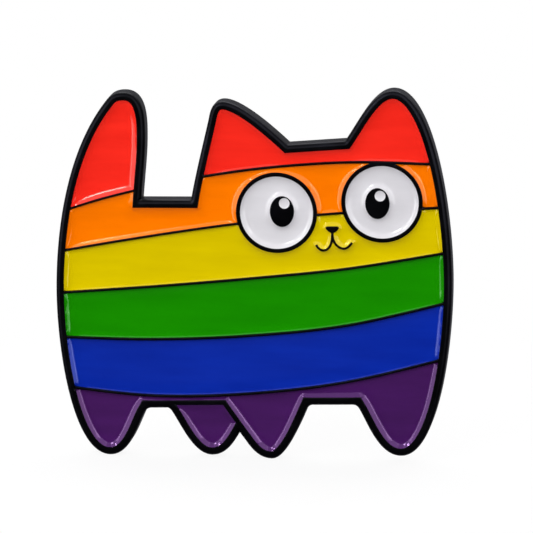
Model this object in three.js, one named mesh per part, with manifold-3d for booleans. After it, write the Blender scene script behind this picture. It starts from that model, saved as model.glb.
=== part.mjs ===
// Soft-enamel cat pin: one die-struck plate with coloured cells, two posts on its back and a
// butterfly clutch on each post. Millimetres, +Z up, front towards -Y, back face on Y = 0.
import * as THREE from 'three';
import { mergeVertices } from 'three/addons/utils/BufferGeometryUtils.js';
import Module from 'manifold-3d';

const wasm = await Module();
wasm.setup();

// plate
const PLATE = 2.0;            // back face to the top of the raised metal
const FLOOR = 1.25;           // bottom of the enamel cells
const ENAMEL_TOP = 1.72;      // cured enamel, below the metal
const RIM = 0.72;             // outer edge to the first enamel
const RIM_ROUND = 0.33;       // rounding of the front outer edge
const BACK_ROUND = 0.14;      // rounding of the back outer edge
const LINE = 0.22;            // raised stripe lines
const FACE_LINE = 0.22;       // raised mouth line
const OVERLAP_LINE = 0.44;    // line where the near legs cross the far leg
const GAP = 0.012;            // enamel to metal, so that the two solids stay apart
const STEPS = 10;             // chords along each curve of an outline

// eyes
const EYE_IN = 3.2;
const EYE_OUT = 3.57;
const EYES = [
  { side: 'left', x: 2.07, z: 5.57, pupil: [2.55, 5.69], glint: [2.75, 6.42] },
  { side: 'right', x: 11.31, z: 6.7, pupil: [10.91, 6.58], glint: [11.14, 7.25] },
];
const PUPIL = [1.07, 1.37];
const GLINT = 0.47;

// posts and clutches
const POST_X = 8.5;
const POST_LENGTH = 8.0;
const POST_R = 0.55;
const BASE_R = 1.2;           // flange of a post, on the plate
const GROOVE_R = 0.43;        // groove that the spring wire snaps into
const FABRIC = 2.1;           // plate to clutch, taken up by the cloth
const CUP_R = 5.75;
const SHELL_R = 4.7;
const SHELL_TOP = 3.0;
const WING_HALF = 2.6;        // half the width of a wing
const WIRE_X = 0.785;         // spring strand beside the post
const WIRE_Y = 1.7;
const WIRE_R = 0.2;

const colour = (hex, roughness, metalness) =>
  new THREE.MeshStandardMaterial({ color: hex, roughness, metalness });
const DYED = colour(0x0c0b0d, 0.4, 0.9);
const STEEL = colour(0x9a9ba0, 0.35, 1.0);
const BRASS = colour(0xc9a24b, 0.3, 1.0);
const SPRING_WIRE = colour(0xb98a4a, 0.3, 1.0);
const ENAMELS = {
  red: colour(0xf4231a, 0.12, 0.0),
  orange: colour(0xf97a06, 0.12, 0.0),
  yellow: colour(0xe3cd08, 0.12, 0.0),
  green: colour(0x178a0c, 0.12, 0.0),
  blue: colour(0x0c2ea6, 0.12, 0.0),
  purple: colour(0x4b1a68, 0.12, 0.0),
  white: colour(0xf0eff2, 0.12, 0.0),
};

const pin = new THREE.Group();
pin.name = 'cat_pin';

function addMesh(name, geometry, material, place) {
  const mesh = new THREE.Mesh(geometry, material);
  mesh.name = name;
  if (place) place(mesh);
  pin.add(mesh);
  return mesh;
}

function toSolid(geometry) {
  const bare = geometry.clone();
  bare.deleteAttribute('normal');
  bare.deleteAttribute('uv');
  const merged = mergeVertices(bare, 1e-5);
  return new wasm.Manifold(new wasm.Mesh({
    numProp: 3,
    vertProperties: merged.attributes.position.array,
    triVerts: new Uint32Array(merged.index.array),
  }));
}

function toGeometry(solid) {
  const mesh = solid.getMesh();
  const geometry = new THREE.BufferGeometry();
  geometry.setAttribute('position', new THREE.BufferAttribute(mesh.vertProperties, 3));
  geometry.setIndex(new THREE.BufferAttribute(mesh.triVerts, 1));
  geometry.computeVertexNormals();
  return geometry;
}

function union(solids) {
  return solids.reduce((all, one) => all.add(one));
}

// A loop of points, counter-clockwise, from a closed path.
function loopOf(path, steps = STEPS) {
  const points = path.getPoints(steps);
  const out = points.filter((p, i) => i === 0 || p.distanceTo(points[i - 1]) > 1e-4);
  if (out[0].distanceTo(out[out.length - 1]) < 1e-4) out.pop();
  return THREE.ShapeUtils.isClockWise(out) ? out.reverse() : out;
}

// The loop moved inwards by a distance, each corner along its mitre.
function inset(loop, distance) {
  return loop.map((p, i) => {
    const before = p.clone().sub(loop.at(i - 1)).normalize();
    const after = loop[(i + 1) % loop.length].clone().sub(p).normalize();
    const inward = new THREE.Vector2(-before.y - after.y, before.x + after.x);
    return p.clone().addScaledVector(inward, (2 * distance) / inward.lengthSq());
  });
}

// A closed solid through loops of equal length at rising heights.
function skin(loops, heights) {
  const count = loops[0].length;
  const position = loops.flatMap((loop, k) => loop.flatMap((p) => [p.x, p.y, heights[k]]));
  const index = [];
  for (let k = 0; k + 1 < loops.length; k += 1) {
    for (let i = 0; i < count; i += 1) {
      const a = k * count + i;
      const b = k * count + ((i + 1) % count);
      index.push(a, b, b + count, a, b + count, a + count);
    }
  }
  const top = (loops.length - 1) * count;
  THREE.ShapeUtils.triangulateShape(loops[0], []).forEach(([a, b, c]) => index.push(c, b, a));
  THREE.ShapeUtils.triangulateShape(loops.at(-1), [])
    .forEach(([a, b, c]) => index.push(top + a, top + b, top + c));
  const geometry = new THREE.BufferGeometry();
  geometry.setAttribute('position', new THREE.Float32BufferAttribute(position, 3));
  geometry.setIndex(index);
  return geometry;
}

function prism(loop, low, high) {
  return toSolid(skin([loop, loop], [low, high]));
}

function ellipse(x, z, rx, rz, steps) {
  const path = new THREE.Path();
  path.absellipse(x, z, rx, rz, 0, Math.PI * 2, false, 0);
  return loopOf(path, steps);
}

// A strip of constant width along a smooth curve through points.
function strip(points, width, steps) {
  const curve = new THREE.SplineCurve(points.map(([x, z]) => new THREE.Vector2(x, z)));
  const left = [];
  const right = [];
  for (let i = 0; i <= steps; i += 1) {
    const p = curve.getPoint(i / steps);
    const t = curve.getTangent(i / steps);
    const n = new THREE.Vector2(-t.y, t.x).multiplyScalar(width / 2);
    left.push(p.clone().add(n));
    right.push(p.clone().sub(n));
  }
  return right.concat(left.reverse());
}

// A corner between two edges, rounded or sharp.
function turn(path, rounded, x, z, toX, toZ) {
  if (rounded) {
    path.quadraticCurveTo(x, z, toX, toZ);
  } else {
    path.lineTo(x, z);
    path.lineTo(toX, toZ);
  }
}

// outline of the cat with its three near legs: tail, back, ears, chest and legs
function catOutline(rounded) {
  const path = new THREE.Path();
  path.moveTo(-9.87, 6.46);
  path.bezierCurveTo(-9.74, 8.4, -9.5, 10.1, -9.5, 11.95);
  path.bezierCurveTo(-9.5, 13.4, -9.5, 15.94, -11.4, 15.94);
  path.bezierCurveTo(-11.95, 15.94, -12.42, 15.8, -12.75, 15.4);
  path.bezierCurveTo(-16.59, 10.73, -17.47, 3.25, -17.47, -1.8);
  path.bezierCurveTo(-17.47, -6.75, -16.22, -16.53, -12.75, -16.53);
  path.bezierCurveTo(-10.95, -16.53, -10.25, -13.76, -9.62, -12.55);
  turn(path, rounded, -9.42, -12.2, -9.0, -12.2);
  path.lineTo(-2.8, -12.0);
  path.bezierCurveTo(-1.95, -13.2, -1.2, -14.25, -0.72, -14.86);
  path.bezierCurveTo(-0.1, -15.75, 0.55, -16.5, 1.65, -16.5);
  path.bezierCurveTo(2.92, -16.5, 4.18, -13.27, 4.75, -11.95);
  turn(path, rounded, 4.92, -11.56, 5.3, -11.56);
  path.lineTo(8.75, -11.46);
  turn(path, rounded, 9.13, -11.44, 9.35, -11.8);
  path.bezierCurveTo(10.2, -13.3, 11.15, -15.94, 13.05, -15.94);
  path.bezierCurveTo(16.43, -15.94, 17.47, -5.71, 17.47, -0.7);
  path.bezierCurveTo(17.47, 5.3, 15.78, 16.54, 12.2, 16.54);
  path.bezierCurveTo(10.46, 16.54, 9.17, 13.66, 8.05, 12.03);
  path.lineTo(3.04, 11.6);
  path.bezierCurveTo(1.8, 12.73, -1.11, 15.31, -2.67, 15.31);
  path.bezierCurveTo(-3.75, 15.31, -3.85, 14.05, -3.95, 13.6);
  path.bezierCurveTo(-4.45, 11.4, -5.1, 8.8, -5.49, 6.54);
  path.closePath();
  return loopOf(path);
}

// outline of the far leg, which runs up behind the belly
function farLegOutline() {
  const path = new THREE.Path();
  path.moveTo(-9.0, -10.2);
  path.lineTo(-8.9, -12.13);
  path.lineTo(-7.8, -12.13);
  path.quadraticCurveTo(-7.42, -12.13, -7.2, -12.52);
  path.bezierCurveTo(-6.35, -13.81, -5.28, -16.3, -3.68, -16.3);
  path.bezierCurveTo(-2.12, -16.3, -1.45, -14.6, -0.5, -12.9);
  path.lineTo(0.9, -10.2);
  path.closePath();
  return loopOf(path);
}

const CAT = catOutline(true);
const CAT_INSIDE = catOutline(false);
const FAR_LEG = farLegOutline();

// raised lines between the stripes, from tail or left flank to right flank
const STRIPE_LINES = [
  [[-17.4, 5.1], [-13.48, 6.43], [-9.2, 7.6]],
  [[-6.4, 8.25], [-1.12, 9.2], [4.14, 9.85], [9.8, 10.2], [17.2, 10.1]],
  [[-18.2, 1.5], [-11.73, 2.76], [-4.65, 4.01], [1.6, 4.93], [7.65, 5.65], [18.2, 6.45]],
  [[-18.2, -2.1], [-9.09, -1.28], [-0.25, -0.34], [8.54, 0.77], [18.2, 2.58]],
  [[-18.2, -5.95], [-9.11, -5.99], [-0.25, -5.45], [8.56, -4.27], [18.2, -1.78]],
  [[-18.2, -10.25], [-9.13, -11.04], [-0.26, -10.64], [8.57, -9.32], [18.2, -6.72]],
];

// nose and the two halves of the mouth
const MOUTH = [
  [[6.98, 4.1], [6.96, 3.64], [6.92, 3.18], [6.78, 2.73], [6.47, 2.4], [6.08, 2.33], [5.75, 2.52], [5.55, 2.81]],
  [[6.98, 4.1], [6.99, 3.64], [7.07, 3.27], [7.28, 2.88], [7.66, 2.59], [8.05, 2.52], [8.42, 2.72], [8.71, 3.06]],
];

function noseLoop() {
  const path = new THREE.Path();
  path.moveTo(6.5, 4.47);
  path.lineTo(7.43, 4.49);
  path.quadraticCurveTo(7.6, 4.42, 7.52, 4.25);
  path.quadraticCurveTo(7.28, 3.9, 6.98, 3.86);
  path.quadraticCurveTo(6.66, 3.9, 6.4, 4.24);
  path.quadraticCurveTo(6.32, 4.42, 6.5, 4.47);
  path.closePath();
  return loopOf(path, 4);
}

// The enamel cells, each set back from the metal by a gap, between two heights.
function cells(gap, low, high) {
  const fill = (loop) => prism(loop, low, high);
  const metal = (loop) => prism(loop, low - 1, high + 1);
  const lines = STRIPE_LINES.map((line) => metal(strip(line, LINE + 2 * gap, 18)));
  const rings = EYES.map((eye) => metal(ellipse(eye.x, eye.z, EYE_OUT + gap, EYE_OUT + gap, 24)));
  const mouth = MOUTH.map((line) => metal(strip(line, FACE_LINE + 2 * gap, 14)));
  const nose = metal(inset(noseLoop(), -gap));
  const walls = union([...lines, ...rings, ...mouth, nose]);
  const stripes = fill(inset(CAT_INSIDE, RIM + gap)).subtract(walls).decompose();
  const crossing = metal(inset(CAT_INSIDE, RIM - OVERLAP_LINE - gap));
  const legs = fill(inset(FAR_LEG, RIM + gap)).subtract(crossing).decompose();
  const whites = EYES.map((eye) => {
    const iris = metal(ellipse(...eye.pupil, PUPIL[0] + gap, PUPIL[1] + gap, 12));
    return fill(ellipse(eye.x, eye.z, EYE_IN - gap, EYE_IN - gap, 24)).subtract(iris);
  });
  const glints = EYES.map((eye) => fill(ellipse(...eye.glint, GLINT - gap, GLINT - gap, 8)));
  return [...stripes, ...legs, ...whites, ...glints];
}

// each fill by a point inside it
const FILLS = [
  ['enamel_red_tail', 'red', -12.5, 10],
  ['enamel_red_head', 'red', 0, 11],
  ['enamel_orange_main', 'orange', -10, 4.6],
  ['enamel_orange_cheek', 'orange', 15.8, 8],
  ['enamel_yellow', 'yellow', -10, 1],
  ['enamel_green', 'green', 0, -3],
  ['enamel_blue', 'blue', 0, -8],
  ['enamel_purple_near_legs', 'purple', -12.5, -13],
  ['enamel_purple_far_leg', 'purple', -4, -13.5],
  ['enamel_white_left_eye', 'white', 0.2, 5.6],
  ['enamel_white_right_eye', 'white', 13.4, 6.7],
  ['enamel_glint_left_eye', 'white', 2.8, 6.43],
  ['enamel_glint_right_eye', 'white', 11.18, 7.26],
];

const UPRIGHT = (mesh) => mesh.rotateX(Math.PI / 2);

function plate(outline) {
  const arc = [0, 1, 2, 3].map((k) => (k * Math.PI) / 6);
  const insets = [BACK_ROUND, BACK_ROUND * 0.3, 0, ...arc.map((a) => RIM_ROUND * (1 - Math.cos(a)))];
  const heights = [0, BACK_ROUND * 0.3, BACK_ROUND,
    ...arc.map((a) => PLATE - RIM_ROUND * (1 - Math.sin(a)))];
  return toSolid(skin(insets.map((d) => inset(outline, d)), heights));
}

// die-struck plate
const struck = union([plate(CAT), plate(FAR_LEG)]);
const body = struck.subtract(union(cells(0, FLOOR, PLATE + 0.5)));
addMesh('pin_body', toGeometry(body), DYED, UPRIGHT);

// enamel fills
const pieces = cells(GAP, FLOOR + GAP, ENAMEL_TOP);
FILLS.forEach(([name, hue, x, z]) => {
  const probe = prism(ellipse(x, z, 0.1, 0.1, 6), FLOOR, PLATE);
  const piece = pieces.find((one) => !one.intersect(probe).isEmpty());
  addMesh(name, toGeometry(piece), ENAMELS[hue], UPRIGHT);
});

function lathe(profile, steps) {
  const points = profile.map(([r, y]) => new THREE.Vector2(r, y));
  points.push(points[0].clone());
  return new THREE.LatheGeometry(points, steps);
}

function postGeometry() {
  const profile = [
    [0, 0.01], [BASE_R, 0.01], [BASE_R, 0.22], [1.05, 0.36], [0.7, 0.38], [POST_R, 0.55],
    [POST_R, 5.9], [GROOVE_R, 6.05], [GROOVE_R, 6.3], [POST_R, 6.45], [POST_R, 6.9],
    [0.32, 7.55], [0.08, POST_LENGTH], [0, POST_LENGTH],
  ];
  return lathe(profile, 16);
}

// disc that lies on the cloth: dimple round its hole, rolled rim
function cupGeometry() {
  const profile = [
    [0.75, 0.75], [1.35, 0.5], [1.9, 0.0], [5.2, 0.0], [5.6, 0.12], [CUP_R, 0.5], [CUP_R, 1.15],
    [5.6, 1.35], [5.42, 1.2], [5.38, 0.6], [5.2, 0.4], [2.1, 0.4], [1.55, 0.85], [0.75, 1.1],
  ];
  return lathe(profile, 32);
}

// cap crimped into the cup, with a hole for the post and a window for each wing
function shellSolid() {
  const profile = [
    [4.32, 0.44], [5.18, 0.44], [5.25, 0.6], [5.25, 0.8], [4.9, 0.85], [SHELL_R, 1.05],
    [SHELL_R, 2.5], [4.5, 2.88], [4.1, SHELL_TOP], [0.85, SHELL_TOP], [0.85, SHELL_TOP - 0.36],
    [3.95, SHELL_TOP - 0.36], [4.2, 2.5], [4.32, 2.3],
  ];
  const window = new THREE.BoxGeometry(1.6, 1.2, 2 * WING_HALF + 0.4);
  const windows = [1, -1].map((side) => toSolid(window.clone().translate(side * 2.0, 2.9, 0)));
  return toSolid(lathe(profile, 32)).subtract(union(windows));
}

// wing: a plate that leaves the window and turns outwards, with two flanges that carry the wire
function wingSolid() {
  const side = new THREE.Path();
  side.moveTo(1.45, 2.05);
  side.lineTo(1.85, 2.05);
  side.lineTo(1.85, 3.0);
  side.quadraticCurveTo(1.85, 3.3, 2.15, 3.5);
  side.lineTo(5.45, 5.42);
  side.quadraticCurveTo(5.95, 5.72, 5.95, 6.1);
  side.lineTo(5.55, 6.1);
  side.quadraticCurveTo(5.55, 5.95, 5.25, 5.76);
  side.lineTo(1.95, 3.84);
  side.quadraticCurveTo(1.45, 3.55, 1.45, 3.0);
  side.closePath();
  const sheet = prism(loopOf(side, 4), -WING_HALF, WING_HALF);
  const face = new THREE.Path();
  face.moveTo(0, -1.75);
  face.lineTo(2.2, -1.75);
  face.bezierCurveTo(3.2, -1.75, 3.4, -WING_HALF, 4.4, -WING_HALF);
  face.bezierCurveTo(5.8, -WING_HALF, 6.4, -1.2, 6.4, 0);
  face.bezierCurveTo(6.4, 1.2, 5.8, WING_HALF, 4.4, WING_HALF);
  face.bezierCurveTo(3.4, WING_HALF, 3.2, 1.75, 2.2, 1.75);
  face.lineTo(0, 1.75);
  face.closePath();
  const leaf = toSolid(skin([loopOf(face, 6), loopOf(face, 6)], [-8, 0]).rotateX(Math.PI / 2));
  const flange = new THREE.Path();
  flange.moveTo(0.35, 1.35);
  flange.lineTo(1.3, 1.35);
  flange.lineTo(1.85, 2.05);
  flange.lineTo(1.85, 2.5);
  flange.lineTo(1.45, 2.5);
  flange.lineTo(0.35, 2.05);
  flange.closePath();
  const eye = prism(ellipse(WIRE_X, WIRE_Y, WIRE_R + 0.04, WIRE_R + 0.04, 12), -3, 3);
  const flanges = [-1.75, 1.4].map((z) => prism(loopOf(flange, 2), z, z + 0.35));
  return sheet.intersect(leaf).add(union(flanges)).subtract(eye);
}

// spring wire: a hairpin whose two strands grip the post
function springGeometry() {
  const centre = [[WIRE_X, 0, 3.1], [WIRE_X, 0, -2.9]];
  for (let k = 1; k < 8; k += 1) {
    const a = (k * Math.PI) / 8;
    centre.push([WIRE_X * Math.cos(a), 0, -2.9 - WIRE_X * Math.sin(a)]);
  }
  centre.push([-WIRE_X, 0, -2.9], [-WIRE_X, 0, 3.1]);
  const sides = 10;
  const position = [];
  centre.forEach(([x, , z], i) => {
    const [ax, , az] = centre[Math.max(i - 1, 0)];
    const [bx, , bz] = centre[Math.min(i + 1, centre.length - 1)];
    const length = Math.hypot(bx - ax, bz - az);
    for (let k = 0; k < sides; k += 1) {
      const a = (2 * Math.PI * k) / sides;
      const out = WIRE_R * Math.cos(a);
      position.push(x - (out * (bz - az)) / length, WIRE_Y + WIRE_R * Math.sin(a),
        z + (out * (bx - ax)) / length);
    }
  });
  const index = [];
  for (let i = 0; i + 1 < centre.length; i += 1) {
    for (let k = 0; k < sides; k += 1) {
      const a = i * sides + k;
      const b = i * sides + ((k + 1) % sides);
      index.push(a, b + sides, b, a, a + sides, b + sides);
    }
  }
  const last = (centre.length - 1) * sides;
  for (let k = 1; k + 1 < sides; k += 1) {
    index.push(0, k, k + 1, last, last + k + 1, last + k);
  }
  const geometry = new THREE.BufferGeometry();
  geometry.setAttribute('position', new THREE.Float32BufferAttribute(position, 3));
  geometry.setIndex(index);
  return geometry;
}

const shell = toGeometry(shellSolid());
const wing = toGeometry(wingSolid());

[['left', -POST_X], ['right', POST_X]].forEach(([side, x]) => {
  addMesh(`post_${side}`, postGeometry(), STEEL, (mesh) => mesh.position.set(x, 0, 0));
  const onPost = (mesh) => mesh.position.set(x, FABRIC, 0);
  addMesh(`clutch_${side}_cup`, cupGeometry(), BRASS, onPost);
  addMesh(`clutch_${side}_shell`, shell.clone(), BRASS, onPost);
  addMesh(`clutch_${side}_wing_a`, wing.clone(), BRASS, onPost);
  addMesh(`clutch_${side}_wing_b`, wing.clone().rotateY(Math.PI), BRASS, onPost);
  addMesh(`clutch_${side}_spring`, springGeometry(), SPRING_WIRE, onPost);
});

export default pin;
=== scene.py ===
# Soft-enamel cat pin: fine meshes, materials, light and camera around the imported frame.
import math

import bmesh
import bpy
import numpy as np
from mathutils import Matrix, Vector, kdtree
from mathutils.geometry import delaunay_2d_cdt

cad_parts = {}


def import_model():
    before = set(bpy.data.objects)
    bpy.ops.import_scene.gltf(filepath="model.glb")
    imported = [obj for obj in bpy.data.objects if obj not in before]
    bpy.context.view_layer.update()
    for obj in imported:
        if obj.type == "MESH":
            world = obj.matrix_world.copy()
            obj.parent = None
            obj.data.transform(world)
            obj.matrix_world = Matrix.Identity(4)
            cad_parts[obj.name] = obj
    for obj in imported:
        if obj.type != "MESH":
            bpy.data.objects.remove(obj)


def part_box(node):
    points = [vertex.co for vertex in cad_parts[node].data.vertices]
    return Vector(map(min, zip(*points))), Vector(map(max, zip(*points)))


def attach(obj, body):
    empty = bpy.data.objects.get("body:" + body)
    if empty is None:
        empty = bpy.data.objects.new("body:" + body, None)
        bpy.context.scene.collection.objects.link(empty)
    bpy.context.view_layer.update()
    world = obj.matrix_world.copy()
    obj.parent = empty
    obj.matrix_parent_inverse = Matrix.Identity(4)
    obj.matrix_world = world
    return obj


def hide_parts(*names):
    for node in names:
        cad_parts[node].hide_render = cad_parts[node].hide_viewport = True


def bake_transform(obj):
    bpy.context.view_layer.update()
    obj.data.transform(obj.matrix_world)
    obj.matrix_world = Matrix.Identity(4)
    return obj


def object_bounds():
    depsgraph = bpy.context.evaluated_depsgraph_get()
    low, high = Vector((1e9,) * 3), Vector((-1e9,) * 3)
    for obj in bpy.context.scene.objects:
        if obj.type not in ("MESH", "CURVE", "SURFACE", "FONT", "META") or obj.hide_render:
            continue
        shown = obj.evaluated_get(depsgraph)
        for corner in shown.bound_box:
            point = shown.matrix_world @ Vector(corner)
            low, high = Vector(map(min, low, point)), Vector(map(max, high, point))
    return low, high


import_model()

cad_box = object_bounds()
MM = 0.001

# sizes in millimetres, the same as the frame's solids
PLATE = 2.0
FLOOR = 1.25
RIM = 0.72
LINE = 0.22
FACE_LINE = 0.22
OVERLAP_LINE = 0.44
EYE_IN = 3.2
EYE_OUT = 3.57
PUPIL = (1.07, 1.37)
GLINT = 0.47
EYES = [
    dict(centre=(2.07, 5.57), pupil=(2.55, 5.69), glint=(2.75, 6.42)),
    dict(centre=(11.31, 6.7), pupil=(10.91, 6.58), glint=(11.14, 7.25)),
]

# finish of the struck edges and of the enamel surface, in millimetres
STEP = 0.13               # spacing of points along the curves
SIDE = 0.12               # least spacing along the rows of points beside them
RIM_ROUND = 0.34          # outer rounding of the rim
CREST = math.radians(14)  # slope at which that rounding leaves the flat top
EDGE_ROUND = 0.075        # rounding of every metal edge beside enamel
BACK_ROUND = 0.14         # rounding of the plate's back edge
COLLAR = 0.015            # narrow band of wall beside each rounding, which keeps the wall evenly shaded
CLOSE = 0.006             # spacing of the points that the rim's distances are measured to
# rows of points beside an edge, by their distance from it
RIM_ROWS = (0.02, 0.045, 0.08, 0.13, 0.2, 0.28, 0.36, 0.42)
BACK_ROWS = (0.03, 0.07, 0.11, 0.15)
ENAMEL_ROWS = (0.03, 0.065, 0.105, 0.15, 0.2, 0.26, 0.33, 0.42, 0.54, 0.7, 0.9, 1.15)
BACK_FINISH = (-0.22, -0.06)  # along Y, where the polish gives way to the stipple
ENAMEL_BED = FLOOR + 0.01     # underside of the enamel
ENAMEL_LOW = 1.6          # level enamel, away from its walls
MENISCUS = 0.32           # height that the enamel climbs at the rim and the eyes
CLIMB = 0.4               # distance over which the climb dies away
LINE_SHARE = 0.45         # share of that climb at the thin stripe lines
AT_LINES = {              # the same for fills that differ
    "enamel_red_tail": 0.95, "enamel_orange_main": 0.7, "enamel_purple_near_legs": 0.3,
    "enamel_white_left_eye": 1.0, "enamel_white_right_eye": 1.0,
}

# posts and clutches
POST_R = 0.55
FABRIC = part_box("clutch_left_cup")[0].y / MM
POSTS = {side: sum(corner.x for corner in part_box(f"post_{side}")) / 2 / MM
         for side in ("left", "right")}
WING_HALF = 2.6
SHEET = 0.39              # metal of the wings
FLANGE = 0.35
WIRE_X = 0.785
WIRE_Y = 1.7
WIRE_R = 0.2
STRAND = 3.1              # free end of the spring's strands, along Z
SPRING_BEND = -2.9        # where they turn into the bend
WIRE_PLAY = 0.04          # play of the wire in the flanges' holes


# ---------------------------------------------------------------- plane curves

class Outline:
    """A closed run of lines and curves, sampled as it is drawn."""

    def __init__(self, x, z, step=STEP):
        self.points = [np.array((x, z), float)]
        self.step = step

    def line(self, x, z):
        self.points.append(np.array((x, z), float))

    def curve(self, *numbers):
        """A Bezier curve to the last pair of numbers, quadratic or cubic."""
        pairs = [self.points[-1]] + list(np.array(numbers, float).reshape(-1, 2))
        length = sum(np.hypot(*(b - a)) for a, b in zip(pairs, pairs[1:]))
        count = max(3, round(length / self.step))
        degree = len(pairs) - 1
        for t in np.arange(1, count + 1) / count:
            point = sum(
                math.comb(degree, k) * (1 - t) ** (degree - k) * t**k * p
                for k, p in enumerate(pairs)
            )
            self.points.append(point)

    def turn(self, rounded, x, z, to_x, to_z):
        """A corner, rounded or sharp."""
        if rounded:
            self.curve(x, z, to_x, to_z)
        else:
            self.line(x, z)
            self.line(to_x, to_z)

    def loop(self):
        points = np.array(self.points)
        if np.hypot(*(points[0] - points[-1])) < 1e-6:
            points = points[:-1]
        return points if area(points) > 0 else points[::-1]


def area(loop):
    x, z = loop.T
    return 0.5 * np.sum(x * np.roll(z, -1) - np.roll(x, -1) * z)


def cat_outline(rounded):
    o = Outline(-9.87, 6.46)
    o.curve(-9.74, 8.4, -9.5, 10.1, -9.5, 11.95)
    o.curve(-9.5, 13.4, -9.5, 15.94, -11.4, 15.94)
    o.curve(-11.95, 15.94, -12.42, 15.8, -12.75, 15.4)
    o.curve(-16.59, 10.73, -17.47, 3.25, -17.47, -1.8)
    o.curve(-17.47, -6.75, -16.22, -16.53, -12.75, -16.53)
    o.curve(-10.95, -16.53, -10.25, -13.76, -9.62, -12.55)
    o.turn(rounded, -9.42, -12.2, -9.0, -12.2)
    o.line(-2.8, -12.0)
    o.curve(-1.95, -13.2, -1.2, -14.25, -0.72, -14.86)
    o.curve(-0.1, -15.75, 0.55, -16.5, 1.65, -16.5)
    o.curve(2.92, -16.5, 4.18, -13.27, 4.75, -11.95)
    o.turn(rounded, 4.92, -11.56, 5.3, -11.56)
    o.line(8.75, -11.46)
    o.turn(rounded, 9.13, -11.44, 9.35, -11.8)
    o.curve(10.2, -13.3, 11.15, -15.94, 13.05, -15.94)
    o.curve(16.43, -15.94, 17.47, -5.71, 17.47, -0.7)
    o.curve(17.47, 5.3, 15.78, 16.54, 12.2, 16.54)
    o.curve(10.46, 16.54, 9.17, 13.66, 8.05, 12.03)
    o.line(3.04, 11.6)
    o.curve(1.8, 12.73, -1.11, 15.31, -2.67, 15.31)
    o.curve(-3.75, 15.31, -3.85, 14.05, -3.95, 13.6)
    o.curve(-4.45, 11.4, -5.1, 8.8, -5.49, 6.54)
    return o.loop()


def far_leg_outline():
    o = Outline(-9.0, -10.2)
    o.line(-8.9, -12.13)
    o.line(-7.8, -12.13)
    o.curve(-7.42, -12.13, -7.2, -12.52)
    o.curve(-6.35, -13.81, -5.28, -16.3, -3.68, -16.3)
    o.curve(-2.12, -16.3, -1.45, -14.6, -0.5, -12.9)
    o.line(0.9, -10.2)
    return o.loop()


def nose_outline():
    o = Outline(6.5, 4.47, 0.05)
    o.line(7.43, 4.49)
    o.curve(7.6, 4.42, 7.52, 4.25)
    o.curve(7.28, 3.9, 6.98, 3.86)
    o.curve(6.66, 3.9, 6.4, 4.24)
    o.curve(6.32, 4.42, 6.5, 4.47)
    return o.loop()


def ellipse(centre, rx, rz, count):
    a = np.arange(count) * 2 * math.pi / count
    return np.column_stack((centre[0] + rx * np.cos(a), centre[1] + rz * np.sin(a)))


def spline(points, count):
    """Points along the uniform Catmull-Rom curve through the given ones, its ends doubled."""
    p = np.array(points, float)
    p = np.vstack((p[0], p, p[-1]))
    out = []
    for u in np.linspace(0, len(points) - 1, count + 1):
        k = min(int(u), len(points) - 2)
        t = u - k
        a, b, c, d = p[k:k + 4]
        v0, v1 = (c - a) / 2, (d - b) / 2
        out.append((2 * b - 2 * c + v0 + v1) * t**3 + (3 * c - 3 * b - 2 * v0 - v1) * t**2 + v0 * t + b)
    return np.array(out)


def strip(points, width, count):
    """A strip of constant width along that curve."""
    middle = spline(points, count)
    tangent = np.gradient(middle, axis=0)
    tangent /= np.linalg.norm(tangent, axis=1)[:, None]
    side = np.column_stack((-tangent[:, 1], tangent[:, 0])) * width / 2
    return np.vstack((middle - side, (middle + side)[::-1]))


# middles of the raised lines
STRIPE_LINES = [
    [(-17.4, 5.1), (-13.48, 6.43), (-9.2, 7.6)],
    [(-6.4, 8.25), (-1.12, 9.2), (4.14, 9.85), (9.8, 10.2), (17.2, 10.1)],
    [(-18.2, 1.5), (-11.73, 2.76), (-4.65, 4.01), (1.6, 4.93), (7.65, 5.65), (18.2, 6.45)],
    [(-18.2, -2.1), (-9.09, -1.28), (-0.25, -0.34), (8.54, 0.77), (18.2, 2.58)],
    [(-18.2, -5.95), (-9.11, -5.99), (-0.25, -5.45), (8.56, -4.27), (18.2, -1.78)],
    [(-18.2, -10.25), (-9.13, -11.04), (-0.26, -10.64), (8.57, -9.32), (18.2, -6.72)],
]
MOUTH = [
    [(6.98, 4.1), (6.96, 3.64), (6.92, 3.18), (6.78, 2.73),
     (6.47, 2.4), (6.08, 2.33), (5.75, 2.52), (5.55, 2.81)],
    [(6.98, 4.1), (6.99, 3.64), (7.07, 3.27), (7.28, 2.88),
     (7.66, 2.59), (8.05, 2.52), (8.42, 2.72), (8.71, 3.06)],
]


def inset(loop, distance):
    """The loop moved inwards, each corner along its mitre."""
    before = loop - np.roll(loop, 1, axis=0)
    before /= np.linalg.norm(before, axis=1)[:, None]
    after = np.roll(before, -1, axis=0)
    inward = np.column_stack((-before[:, 1] - after[:, 1], before[:, 0] + after[:, 0]))
    return loop + inward * (2 * distance / (inward**2).sum(1))[:, None]


def inside(points, loops):
    """Whether each point is in an odd number of the loops."""
    order = np.argsort(points[:, 1], kind="stable")
    x, z = points[order].T
    odd = np.zeros(len(points), bool)
    for loop in loops:
        for (ax, az), (bx, bz) in zip(loop, np.roll(loop, -1, axis=0)):
            if az == bz:
                continue
            low, high = np.searchsorted(z, sorted((az, bz)))
            cross = ax + (z[low:high] - az) * (bx - ax) / (bz - az)
            odd[low:high] ^= x[low:high] < cross
    out = np.empty(len(points), bool)
    out[order] = odd
    return out


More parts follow.
